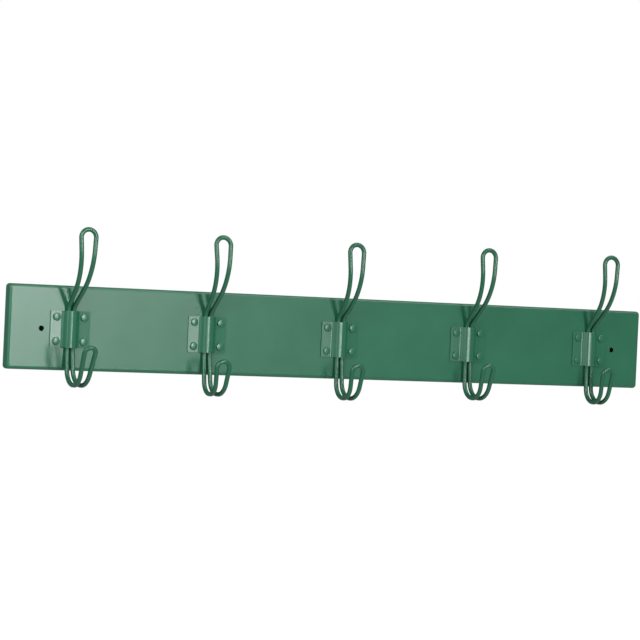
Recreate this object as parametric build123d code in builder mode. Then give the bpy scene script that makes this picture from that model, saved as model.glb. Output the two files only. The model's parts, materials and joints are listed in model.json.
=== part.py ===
from build123d import *
from math import cos, radians, sin, tan
import os

# Wall-mounted coat rack: a folded sheet-steel backplate with five double wire hooks, each clamped
# under a pressed saddle by four round-head rivets.
# Millimetres. +X along the rack to the viewer's right, +Z up, the room in front on the -Y side.
# The origin is midway between the two mounting holes, on the backplate's face, where screw heads bear.

# Backplate
plate_length = 800.0
plate_height = 90.0
plate_depth = 10.0          # wall to the front face
plate_sheet = 1.2
plate_fold = 3.5            # outer radius of the folds round the face
fold_limit = 0.95           # the most of the corner's radius that a fold takes
plate_corner = 4.0          # outer radius of the four upright corners
plate_rise = 1.2            # the face's mid-height above the line of the mounting holes
mount_spacing = 724.0
mount_hole = 6.0            # diameter

# Hook wire
wire = 5.0                  # diameter
strand_pitch = 6.2          # centre to centre of the two strands under the saddle
wire_gap = 0.05             # paint film between the wire and the sheet it lies on
butt_gap = 0.4              # between the wire's two ends, under the saddle
saddle_leave = 0.4          # straight strand between the saddle's edge and a bend
elbow = 9.0                 # radius where the strands leave the saddle's top forward
lower_elbow = 18.0          # radius of the gentle bend under the saddle
sweep_bend = 58.0           # radius of the upper hook's long bend back to upright
rise_share = 0.52           # of the upper hook's spread, reached at that bend
drop_share = 0.16           # of the lower hook's spread, reached at the back of its round
mouth_share = 0.42          # and at the front of it
loop_fill = 0.94            # radius of a loop's corners, of half the loop's width
mouth_fill = 0.97           # radius of the lower hook's round, of the most that its depth allows

# Saddle
saddle_width = 45.6
saddle_height = 39.0
saddle_sheet = 1.2
saddle_corner = 1.2
wire_clearance = 0.15       # between the wire and the saddle's channel
crown_slope = 12.0          # fall of the channel's top to each side
crown_radius = 15.0         # middle of the sheet along the top
flank_angle = 40.0          # the channel's sides, from square to the plate
foot_radius = 3.4           # hollow side of the bend where a side meets its flange

# Rivets
rivet_across = 31.6
rivet_down = 25.8
rivet_head = 8.6            # diameter
rivet_rise = 1.9            # height of the low round head
rivet_rim = 1.5             # its height at the edge, before that is rounded
rivet_round = 1.0           # radius of the rounded edge
rivet_shank = 4.0
rivet_clearance = 0.1       # on the diameter of its holes
rivet_tail = 6.6            # diameter of the set end behind the plate
rivet_tail_end = 5.4        # diameter of its flat end
rivet_tail_height = 1.6

# The hooks were placed and bent by hand, and no two are quite alike
hook_pitch = 165.0
hooks = [
    # shift: along the plate from its even place
    # lean: degrees forward of the upper strands   reach: saddle strands to upright upper strands
    # tip_back: the upper hook's top behind that    rise: axis of its top above the holes
    # spread: strands apart at its top
    # drop: axis of the lower bend below the holes  stand_off: back strands forward of the saddle's
    # mouth: depth of the lower hook                throw: degrees forward of its front strands
    # lip: axis of the lower hook's top             gape: strands apart there
    dict(shift=0.5, lean=46.0, reach=37.0, tip_back=1.0, rise=106.0, spread=18.0,
         drop=58.0, stand_off=4.5, mouth=32.5, throw=23.5, lip=-17.5, gape=13.0),
    dict(shift=-2.5, lean=43.0, reach=33.0, tip_back=5.0, rise=105.5, spread=18.5,
         drop=63.5, stand_off=6.0, mouth=28.5, throw=12.5, lip=-27.5, gape=16.0),
    dict(shift=-3.0, lean=45.0, reach=31.5, tip_back=2.5, rise=105.5, spread=18.5,
         drop=64.0, stand_off=3.0, mouth=32.5, throw=13.0, lip=-27.0, gape=14.5),
    dict(shift=-1.0, lean=47.0, reach=38.0, tip_back=2.0, rise=107.5, spread=18.5,
         drop=60.0, stand_off=2.0, mouth=33.5, throw=16.5, lip=-22.0, gape=14.0),
    dict(shift=-0.5, lean=46.5, reach=37.5, tip_back=1.0, rise=107.0, spread=19.0,
         drop=61.0, stand_off=2.0, mouth=30.5, throw=12.5, lip=-22.0, gape=14.0),
]

# Sizes that follow
face_y = 0.0
flange_y = face_y - saddle_sheet
strand_y = face_y - wire_gap - wire / 2
strand_x = strand_pitch / 2
saddle_top = saddle_height / 2
first_place = -(len(hooks) - 1) / 2 * hook_pitch
saddle_places = [first_place + index * hook_pitch + hook["shift"] for index, hook in enumerate(hooks)]
rivet_sides = [
    ("upper_left", -rivet_across / 2, rivet_down / 2),
    ("upper_right", rivet_across / 2, rivet_down / 2),
    ("lower_left", -rivet_across / 2, -rivet_down / 2),
    ("lower_right", rivet_across / 2, -rivet_down / 2),
]
# Looking at the rack from the room: sketch x runs to the right, sketch y up, and it extrudes forward
wall = Plane(origin=(0, face_y + plate_depth, 0), x_dir=(1, 0, 0), z_dir=(0, -1, 0))

os.makedirs("parts", exist_ok=True)


def save(piece, name):
    piece.label = name
    export_step(piece, f"parts/{name}.step")


def build_backplate():
    """A tray open to the wall: one sheet folded back on all four sides, with rounded corners."""
    mount_places = [(-mount_spacing / 2, 0), (mount_spacing / 2, 0)]
    rivet_places = [(place + x, z) for place in saddle_places for _, x, z in rivet_sides]
    with BuildPart() as backplate:
        with BuildSketch(wall):
            with Locations((0, plate_rise)):
                RectangleRounded(plate_length, plate_height, plate_corner)
        extrude(amount=plate_depth)
        fillet(backplate.faces().sort_by(Axis.Y)[0].edges(), min(plate_fold, fold_limit * plate_corner))
        offset(amount=-plate_sheet, openings=backplate.faces().sort_by(Axis.Y)[-1])
        with Locations(wall):
            with Locations(*mount_places):
                Hole(mount_hole / 2)
            with Locations(*rivet_places):
                Hole((rivet_shank + rivet_clearance) / 2)
    return backplate.part


def half_widths(hook):
    """Half the strands' spacing at each corner of the wire's route, from the saddle outwards."""
    top = hook["spread"] / 2
    lip = hook["gape"] / 2
    return {
        "saddle": strand_x,
        "rise_bend": strand_x + rise_share * (top - strand_x),
        "top": top,
        "drop_bend": strand_x + drop_share * (lip - strand_x),
        "mouth_bend": strand_x + mouth_share * (lip - strand_x),
        "lip": lip,
    }


def wire_route(hook):
    """Corners of one strand's route, each with its bend radius, from the saddle's middle up and then down."""
    half = half_widths(hook)
    elbow_z = saddle_top + saddle_leave + elbow * tan(radians(hook["lean"] / 2))
    front_y = strand_y - hook["reach"]
    bend_z = elbow_z + hook["reach"] / tan(radians(hook["lean"]))
    back_y = strand_y - hook["stand_off"]
    corner_y = back_y - hook["mouth"]
    lip_y = corner_y - (hook["lip"] + hook["drop"]) * tan(radians(hook["throw"]))
    mouth_radius = mouth_fill * hook["mouth"] / (1 + tan(radians(45 - hook["throw"] / 2)))
    up = [
        ((half["saddle"], strand_y, elbow_z), elbow),
        ((half["rise_bend"], front_y, bend_z), sweep_bend),
        ((half["top"], front_y + hook["tip_back"], hook["rise"]), loop_fill * half["top"]),
    ]
    down = [
        ((half["saddle"], strand_y, -elbow_z), lower_elbow),
        ((half["drop_bend"], back_y, -hook["drop"]), mouth_radius),
        ((half["mouth_bend"], corner_y, -hook["drop"]), mouth_radius),
        ((half["lip"], lip_y, hook["lip"]), loop_fill * half["lip"]),
    ]
    return up, down


def build_wire(hook, place):
    """One length of round wire: up and over the upper hook, down through the saddle and round the lower one."""
    up, down = wire_route(hook)
    right_up = [((place + x, y, z), r) for (x, y, z), r in up]
    left_up = [((place - x, y, z), r) for (x, y, z), r in up]
    right_down = [((place + x, y, z), r) for (x, y, z), r in down]
    left_down = [((place - x, y, z), r) for (x, y, z), r in down]
    corners = right_up + left_up[::-1] + left_down + right_down[::-1]
    start = (place + strand_x, strand_y, butt_gap / 2)
    end = (place + strand_x, strand_y, -butt_gap / 2)
    with BuildPart() as hook_wire:
        with BuildLine() as route:
            FilletPolyline(start, *[point for point, _ in corners], end, radius=[radius for _, radius in corners])
        with BuildSketch(Plane(origin=start, z_dir=(0, 0, 1))):
            Circle(wire / 2)
        sweep(path=route.wires()[0])
    return hook_wire.part


def saddle_section(centre_x):
    """The section on the middle of the sheet: flange, side, crowned top over both strands, side, flange."""
    middle = saddle_sheet / 2
    around = wire / 2 + wire_clearance + middle
    axis = wire_gap + wire / 2
    slope, flank = radians(crown_slope), radians(flank_angle)
    top_h = axis + strand_x * tan(slope) + around / cos(slope)
    foot_x = strand_x + (around + (axis - middle) * sin(flank)) / cos(flank)
    shoulder_x = (foot_x - (top_h - middle) * tan(flank)) / (1 - tan(slope) * tan(flank))
    shoulder_h = top_h - shoulder_x * tan(slope)
    FilletPolyline(
        (centre_x - saddle_width / 2, middle),
        (centre_x - foot_x, middle),
        (centre_x - shoulder_x, shoulder_h),
        (centre_x, top_h),
        (centre_x + shoulder_x, shoulder_h),
        (centre_x + foot_x, middle),
        (centre_x + saddle_width / 2, middle),
        radius=[foot_radius + middle, around, crown_radius, around, foot_radius + middle],
    )


def build_bracket(place):
    """A pressed saddle: two flat flanges and a channel with a low crown, open at top and bottom."""
    section_plane = Plane(origin=(0, face_y, saddle_top), x_dir=(1, 0, 0), z_dir=(0, 0, -1))
    with BuildPart() as bracket:
        with BuildSketch(section_plane):
            with BuildLine():
                saddle_section(place)
            trace(line_width=saddle_sheet)
        extrude(amount=saddle_height)
        flange_ends = bracket.faces().sort_by(Axis.X)
        corners = (flange_ends[0].edges() + flange_ends[-1].edges()).filter_by(Axis.Y)
        fillet(corners, saddle_corner)
        with Locations(wall):
            with Locations(*[(place + x, z) for _, x, z in rivet_sides]):
                Hole((rivet_shank + rivet_clearance) / 2)
    return bracket.part


def build_rivet(x, z):
    """A low round-head rivet through a flange and the plate, set over behind the plate."""
    head = rivet_head / 2
    shank = rivet_shank / 2
    tail = rivet_tail / 2
    grip = saddle_sheet + plate_sheet
    crown_fall = (rivet_rise - rivet_rim) / 4
    with BuildPart() as rivet:
        with BuildSketch(Plane(origin=(x, flange_y, z), x_dir=(1, 0, 0), z_dir=(0, 0, 1))) as half_profile:
            with BuildLine():
                ThreePointArc((0, -rivet_rise), (head / 2, crown_fall - rivet_rise), (head, -rivet_rim))
                Polyline(
                    (head, -rivet_rim),
                    (head, 0),
                    (shank, 0),
                    (shank, grip),
                    (tail, grip),
                    (rivet_tail_end / 2, grip + rivet_tail_height),
                    (0, grip + rivet_tail_height),
                    (0, -rivet_rise),
                )
            make_face()
            fillet(half_profile.vertices().group_by(Axis.X)[-1].sort_by(Axis.Y)[0], rivet_round)
        revolve(axis=Axis((x, flange_y, z), (0, 1, 0)))
    return rivet.part


backplate = build_backplate()
save(backplate, "backplate")
for number, (hook, place) in enumerate(zip(hooks, saddle_places), start=1):
    save(build_wire(hook, place), f"hook_wire_{number}")
    save(build_bracket(place), f"hook_bracket_{number}")
    for side, x, z in rivet_sides:
        save(build_rivet(place + x, z), f"rivet_{number}_{side}")
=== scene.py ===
import json
from math import cos, radians, sin

import bpy
from mathutils import Matrix, Vector


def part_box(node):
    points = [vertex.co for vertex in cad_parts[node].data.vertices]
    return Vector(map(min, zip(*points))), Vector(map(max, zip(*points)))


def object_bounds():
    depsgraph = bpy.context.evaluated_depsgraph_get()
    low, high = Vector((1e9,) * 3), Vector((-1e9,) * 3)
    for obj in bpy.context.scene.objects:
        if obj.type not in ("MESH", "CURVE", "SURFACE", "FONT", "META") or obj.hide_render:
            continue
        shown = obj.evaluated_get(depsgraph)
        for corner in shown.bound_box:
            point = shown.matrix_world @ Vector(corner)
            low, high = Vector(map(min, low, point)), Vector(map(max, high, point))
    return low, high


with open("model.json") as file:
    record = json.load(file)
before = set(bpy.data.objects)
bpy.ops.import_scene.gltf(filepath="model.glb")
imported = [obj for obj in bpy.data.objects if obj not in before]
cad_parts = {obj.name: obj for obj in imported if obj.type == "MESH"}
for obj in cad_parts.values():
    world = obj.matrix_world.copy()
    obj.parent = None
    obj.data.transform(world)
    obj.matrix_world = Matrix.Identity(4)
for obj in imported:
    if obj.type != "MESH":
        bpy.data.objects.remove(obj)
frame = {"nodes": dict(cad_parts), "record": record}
cad_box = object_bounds()

SCENE = bpy.context.scene
HOOKS = range(1, 6)
SIDES = ("upper_left", "upper_right", "lower_left", "lower_right")

# The view: from the left of the rack and a little above it, through a long lens
AIM = Vector((-0.0282, 0.0, 0.0209))
EYE_DISTANCE = 3.315
EYE_YAW = radians(28.75)
EYE_PITCH = radians(-0.48)
EYE_ROLL = radians(2.64)
PICTURE = 640
FOCAL_PIXELS = 2996.3
SENSOR = 36.0
SIGHT_LIMIT = 200

# Degrees to the right of straight in front, degrees up, then distance, width and height in metres, and watts
SOFTBOXES = {
    "key_box": (11, 8, 3.2, 0.5, 1.3, 54),
    "left_fill": (-55, 20, 1.5, 1.0, 1.0, 14),
    "top_fill": (45, 52, 3.0, 2.0, 1.4, 26),
}
ROOM_TINT = (0.92, 0.97, 1.0, 1)
ROOM_STRENGTH = 0.27
WHITE = (1, 1, 1, 1)

FLOOR_HEIGHT = -1.55
FLOOR_SIZE = 60.0
FLOOR_TINT = (0.8, 0.8, 0.8, 1)

# The dark discs of painted shade that stand in for the shaded wall behind the mounting holes
HOLE_PAINTED_SHADE = (0.004, 0.016, 0.008, 1)
SHADE_RADIUS = 0.013
SHADE_INSIDE_RIM = 0.001
SHADE_CORNERS = 32

# The sheet's own form, in metres
HOOK_PITCH = 0.165
DISH_DEPTH = 0.0022          # four times how far the face is dished between two saddles
FLANGE_SLOPE = 0.055         # fall of a saddle's flanges, for each metre outwards
SAG_DEPTH = 0.0001           # long shallow unevenness
SAG_SCALE = 34

# The paint
PLATE_GREEN = (0.018, 0.125, 0.066)
WIRE_GREEN = (0.016, 0.110, 0.057)
SHEET_ROUGHNESS = 0.28
WIRE_ROUGHNESS = 0.26
GLOSS_SPREAD = 0.015
TONE_DARK = 0.95
TONE_LIGHT = 1.05
TONE_FROM = 0.3
TONE_TO = 0.7
CLOUD_SCALE = 26
CLOUD_DETAIL = 3
PEEL_SCALE = 700
PEEL_DEPTH = 0.00001         # orange peel
PLATE_PEEL_DEPTH = 0.000012
RELIEF_DETAIL = 2


def camera_axes():
    """Right, up and forward, with the roll of the picture's horizon."""
    forward = Vector((sin(EYE_YAW) * cos(EYE_PITCH), cos(EYE_YAW) * cos(EYE_PITCH), sin(EYE_PITCH)))
    level = Vector((cos(EYE_YAW), -sin(EYE_YAW), 0))
    upright = level.cross(forward)
    right = cos(EYE_ROLL) * level + sin(EYE_ROLL) * upright
    return right, right.cross(forward), forward


def add_camera():
    right, up, forward = camera_axes()
    eye = AIM - forward * EYE_DISTANCE
    data = bpy.data.cameras.new("view")
    data.sensor_width = SENSOR
    data.lens = FOCAL_PIXELS / PICTURE * SENSOR
    data.clip_end = SIGHT_LIMIT
    camera = bpy.data.objects.new("view", data)
    camera.matrix_world = Matrix(
        (
            (right.x, up.x, -forward.x, eye.x),
            (right.y, up.y, -forward.y, eye.y),
            (right.z, up.z, -forward.z, eye.z),
            (0, 0, 0, 1),
        )
    )
    SCENE.collection.objects.link(camera)
    SCENE.camera = camera


def add_softbox(name, azimuth, elevation, distance, width, height, watts):
    """An area lamp that faces the rack."""
    data = bpy.data.lights.new(name, "AREA")
    data.shape = "RECTANGLE"
    data.size, data.size_y = width, height
    data.energy = watts
    lamp = bpy.data.objects.new(name, data)
    turn, rise = radians(azimuth), radians(elevation)
    way = Vector((sin(turn) * cos(rise), -cos(turn) * cos(rise), sin(rise)))
    lamp.location = way * distance
    lamp.rotation_euler = way.to_track_quat("Z", "Y").to_euler()
    SCENE.collection.objects.link(lamp)


def shown_to_camera(tree, shown, otherwise):
    """One shader for what the camera sees, and another for the light that reaches the rack."""
    path = tree.nodes.new("ShaderNodeLightPath")
    mix = tree.nodes.new("ShaderNodeMixShader")
    tree.links.new(path.outputs["Is Camera Ray"], mix.inputs[0])
    tree.links.new(otherwise.outputs[0], mix.inputs[1])
    tree.links.new(shown.outputs[0], mix.inputs[2])
    return mix.outputs[0]


def light_the_rack():
    """Three softboxes in a dim room, on white paper."""
    for name, place in SOFTBOXES.items():
        add_softbox(name, *place)
    world = bpy.data.worlds.new("studio")
    SCENE.world = world
    world.use_nodes = True
    tree = world.node_tree
    tree.nodes.clear()
    out = tree.nodes.new("ShaderNodeOutputWorld")
    room = tree.nodes.new("ShaderNodeBackground")
    room.inputs["Color"].default_value = ROOM_TINT
    room.inputs["Strength"].default_value = ROOM_STRENGTH
    paper = tree.nodes.new("ShaderNodeBackground")
    paper.inputs["Color"].default_value = WHITE
    tree.links.new(shown_to_camera(tree, paper, room), out.inputs["Surface"])


def bare_material(name):
    """A material with nothing but its output."""
    material = bpy.data.materials.new(name)
    material.use_nodes = True
    tree = material.node_tree
    tree.nodes.clear()
    return material, tree, tree.nodes.new("ShaderNodeOutputMaterial")


def add_math(tree, operation, *values):
    """A Math node; each value is a number or another node's output."""
    node = tree.nodes.new("ShaderNodeMath")
    node.operation = operation
    for socket, value in zip(node.inputs, values):
        if isinstance(value, (int, float)):
            socket.default_value = value
        else:
            tree.links.new(value, socket)
    return node.outputs[0]


def floor_material():
    """Pale floor: full white to the camera, which hides the faint shadow of the rack high above it."""
    material, tree, out = bare_material("pale_floor")
    matt = tree.nodes.new("ShaderNodeBsdfDiffuse")
    matt.inputs["Color"].default_value = FLOOR_TINT
    glow = tree.nodes.new("ShaderNodeEmission")
    glow.inputs["Color"].default_value = WHITE
    both = tree.nodes.new("ShaderNodeAddShader")
    tree.links.new(matt.outputs[0], both.inputs[0])
    tree.links.new(glow.outputs[0], both.inputs[1])
    tree.links.new(shown_to_camera(tree, both, matt), out.inputs["Surface"])
    return material


def add_floor():
    bpy.ops.object.select_all(action="DESELECT")
    bpy.ops.mesh.primitive_plane_add(size=FLOOR_SIZE, location=(0, 0, FLOOR_HEIGHT))
    floor = bpy.context.object
    floor.name = "floor"
    floor.data.materials.append(floor_material())


def painted_hole_shade_material():
    """The painted shade seen through a mounting hole: it has no back, and it takes no light from what is
    round it.
    """
    material, tree, out = bare_material("hole_shade")
    dark = tree.nodes.new("ShaderNodeBsdfDiffuse")
    dark.inputs["Color"].default_value = HOLE_PAINTED_SHADE
    clear = tree.nodes.new("ShaderNodeBsdfTransparent")
    face = tree.nodes.new("ShaderNodeNewGeometry")
    path = tree.nodes.new("ShaderNodeLightPath")
    front = add_math(tree, "SUBTRACT", 1.0, face.outputs["Backfacing"])
    seen = add_math(tree, "MULTIPLY", front, path.outputs["Is Camera Ray"])
    mix = tree.nodes.new("ShaderNodeMixShader")
    tree.links.new(seen, mix.inputs[0])
    tree.links.new(clear.outputs[0], mix.inputs[1])
    tree.links.new(dark.outputs[0], mix.inputs[2])
    tree.links.new(mix.outputs[0], out.inputs["Surface"])
    return material


def mounting_holes():
    """Each hole's name and its place along the rack, from the record's own spacing."""
    holes = next(mount for mount in frame["record"]["mounts"] if mount["name"] == "wall_holes")
    half = holes["dims"]["spacing_x_mm"] / 2000
    return {"left": -half, "right": half}


def paint_shade_behind_holes():
    """A small disc of painted shade inside the tray behind each mounting hole, facing the room."""
    material = painted_hole_shade_material()
    rim = cad_box[1][1]
    for side, along in mounting_holes().items():
        bpy.ops.object.select_all(action="DESELECT")
        bpy.ops.mesh.primitive_circle_add(
            vertices=SHADE_CORNERS,
            radius=SHADE_RADIUS,
            fill_type="NGON",
            location=(along, rim - SHADE_INSIDE_RIM, 0),
            rotation=(radians(90), 0, 0),
        )
        disc = bpy.context.object
        disc.name = f"hole_shade_{side}"
        disc.data.materials.append(material)


def add_bump(tree, height, depth, normal=None):
    """Depth is in metres, for a height of one."""
    bump = tree.nodes.new("ShaderNodeBump")
    bump.inputs["Strength"].default_value = 1
    bump.inputs["Distance"].default_value = depth
    tree.links.new(height, bump.inputs["Height"])
    if normal is not None:
        tree.links.new(normal, bump.inputs["Normal"])
    return bump.outputs["Normal"]


def add_noise(tree, place, scale, detail):
    noise = tree.nodes.new("ShaderNodeTexNoise")
    noise.inputs["Scale"].default_value = scale
    noise.inputs["Detail"].default_value = detail
    tree.links.new(place, noise.inputs["Vector"])
    return noise.outputs["Fac"]


def dished_bays(tree, along):
    """The plate's face stands a little proud at the saddles and is dished between them."""
    bays = add_math(tree, "DIVIDE", along, HOOK_PITCH)
    across_bay = add_math(tree, "FRACT", add_math(tree, "ADD", bays, len(HOOKS)))
    off_middle = add_math(tree, "SUBTRACT", across_bay, 0.5)
    return add_math(tree, "MULTIPLY", off_middle, off_middle), DISH_DEPTH


def sprung_flanges(middle):
    """A saddle's flanges fall away outwards from its channel."""

    def form(tree, along):
        outwards = add_math(tree, "ABSOLUTE", add_math(tree, "SUBTRACT", along, middle))
        return add_math(tree, "MULTIPLY", outwards, -1.0), FLANGE_SLOPE

    return form


def add_tone(tree, cloud, green):
    """The green, from a little darker to a little lighter."""
    tone = tree.nodes.new("ShaderNodeValToRGB")
    dark, light = tone.color_ramp.elements
    dark.position, light.position = TONE_FROM, TONE_TO
    dark.color = (*[TONE_DARK * c for c in green], 1)
    light.color = (*[TONE_LIGHT * c for c in green], 1)
    tree.links.new(cloud, tone.inputs["Fac"])
    return tone.outputs["Color"]


def add_gloss(tree, cloud, roughness):
    gloss = tree.nodes.new("ShaderNodeMapRange")
    gloss.inputs["To Min"].default_value = roughness - GLOSS_SPREAD
    gloss.inputs["To Max"].default_value = roughness + GLOSS_SPREAD
    tree.links.new(cloud, gloss.inputs["Value"])
    return gloss.outputs["Result"]


def enamel(name, green, roughness, peel_depth=PEEL_DEPTH, form=None):
    """Green stoving paint, a little uneven in tone and gloss, with orange peel over the sheet's own form."""
    material = bpy.data.materials.new(name)
    material.use_nodes = True
    tree = material.node_tree
    paint = tree.nodes["Principled BSDF"]
    place = tree.nodes.new("ShaderNodeTexCoord").outputs["Object"]
    cloud = add_noise(tree, place, CLOUD_SCALE, CLOUD_DETAIL)
    tree.links.new(add_tone(tree, cloud, green), paint.inputs["Base Color"])
    tree.links.new(add_gloss(tree, cloud, roughness), paint.inputs["Roughness"])
    normal = None
    if form is not None:
        axes = tree.nodes.new("ShaderNodeSeparateXYZ")
        tree.links.new(place, axes.inputs[0])
        height, depth = form(tree, axes.outputs["X"])
        normal = add_bump(tree, height, depth)
    normal = add_bump(tree, add_noise(tree, place, SAG_SCALE, RELIEF_DETAIL), SAG_DEPTH, normal)
    normal = add_bump(tree, add_noise(tree, place, PEEL_SCALE, RELIEF_DETAIL), peel_depth, normal)
    tree.links.new(normal, paint.inputs["Normal"])
    return material


def paint_node(node, material):
    slots = frame["nodes"][node].data.materials
    slots.clear()
    slots.append(material)


def saddle_enamel(number):
    """Each saddle's paint follows its own middle, because the saddles aren't evenly placed."""
    saddle_node = f"hook_bracket_{number}"
    low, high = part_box(saddle_node)
    form = sprung_flanges((low[0] + high[0]) / 2)
    return enamel(f"saddle_enamel_{number}", PLATE_GREEN, SHEET_ROUGHNESS, form=form)


def paint_the_rack():
    plate = enamel("plate_enamel", PLATE_GREEN, SHEET_ROUGHNESS, PLATE_PEEL_DEPTH, dished_bays)
    wire = enamel("wire_enamel", WIRE_GREEN, WIRE_ROUGHNESS)
    rivet = enamel("rivet_enamel", PLATE_GREEN, SHEET_ROUGHNESS)
    paint_node("backplate", plate)
    for number in HOOKS:
        paint_node(f"hook_bracket_{number}", saddle_enamel(number))
        paint_node(f"hook_wire_{number}", wire)
        for side in SIDES:
            paint_node(f"rivet_{number}_{side}", rivet)


SCENE.view_settings.view_transform = "Standard"
add_camera()
light_the_rack()
add_floor()
paint_shade_behind_holes()
paint_the_rack()
